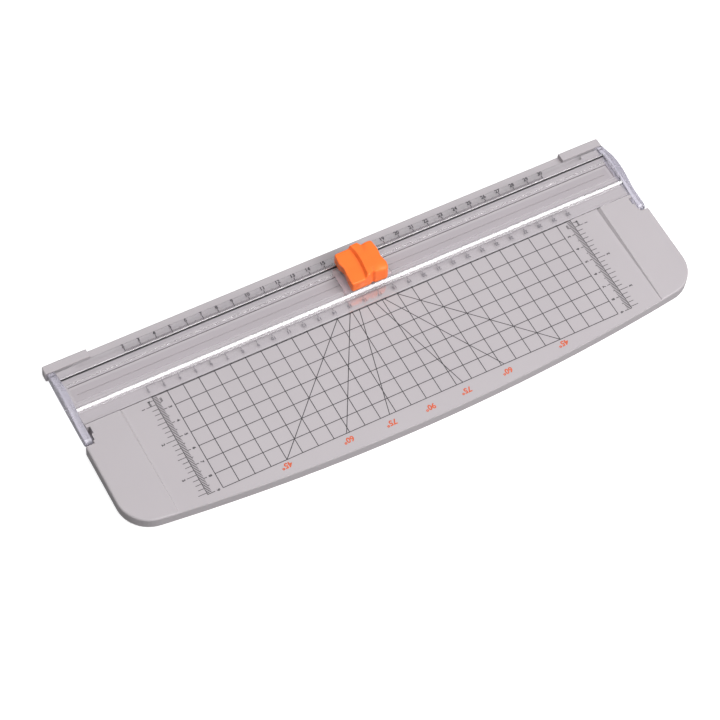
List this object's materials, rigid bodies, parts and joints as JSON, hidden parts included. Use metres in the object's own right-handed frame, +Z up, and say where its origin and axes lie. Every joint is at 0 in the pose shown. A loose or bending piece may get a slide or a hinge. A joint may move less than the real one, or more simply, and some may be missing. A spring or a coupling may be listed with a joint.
{
  "type": "rail paper trimmer",
  "caption": "Desktop rail paper trimmer: printed base with rulers and angle lines, hinged clear rail, and a press-to-cut blade that slides along it.",
  "frame": {"origin": "under the middle of the overall box, on the surface that the feet stand on", "axes": "+X to the right along the cutting line, +Y to the hinged back edge, +Z up from the table"},
  "size_m": [0.374, 0.1292, 0.0252],
  "materials": {
    "base_abs": "fine satin texture",
    "strip_pvc": "soft satin",
    "pin_steel": "bright",
    "foot_rubber": "matt",
    "rail_clear": "clear polished",
    "arm_clear": "clear polished, faint lavender",
    "guide_milky": "milky satin",
    "spring_steel": "drawn wire",
    "cap_orange": "satin",
    "holder_orange": "satin",
    "blade_steel": "ground"
  },
  "bodies": {
    "base": {"base_plate": "base_abs", "cutting_strip": "strip_pvc", "hinge_pin_left": "pin_steel", "hinge_pin_right": "pin_steel", "foot_front_left": "foot_rubber", "foot_front_middle": "foot_rubber", "foot_front_right": "foot_rubber", "foot_rear_left": "foot_rubber", "foot_rear_middle": "foot_rubber", "foot_rear_right": "foot_rubber"},
    "rail": {"clear_rail": "rail_clear", "end_arm_left": "arm_clear", "end_arm_right": "arm_clear"},
    "carriage": {"slider_carriage": "guide_milky", "slider_shoe": "guide_milky", "spring_left": "spring_steel", "spring_right": "spring_steel"},
    "head": {"slider_cap": "cap_orange", "blade_holder": "holder_orange", "blade": "blade_steel", "blade_keeper": "guide_milky"}
  },
  "joints": [
    {"name": "rail_hinge", "type": "hinge", "parent": "base", "child": "rail", "pos_m": [0, 0.0554, 0.0077], "axis": [-1, 0, 0], "range_deg": [0, 80]},
    {"name": "blade_slide", "type": "slide", "parent": "rail", "child": "carriage", "axis": [1, 0, 0], "range_m": [-0.172, 0.158]},
    {"name": "cap_press", "type": "slide", "parent": "carriage", "child": "head", "axis": [0, 0, -1], "range_m": [0, 0.0022], "stiffness_N_per_m": 300, "springref_m": -0.004, "deforming": ["spring_left", "spring_right"]}
  ]
}
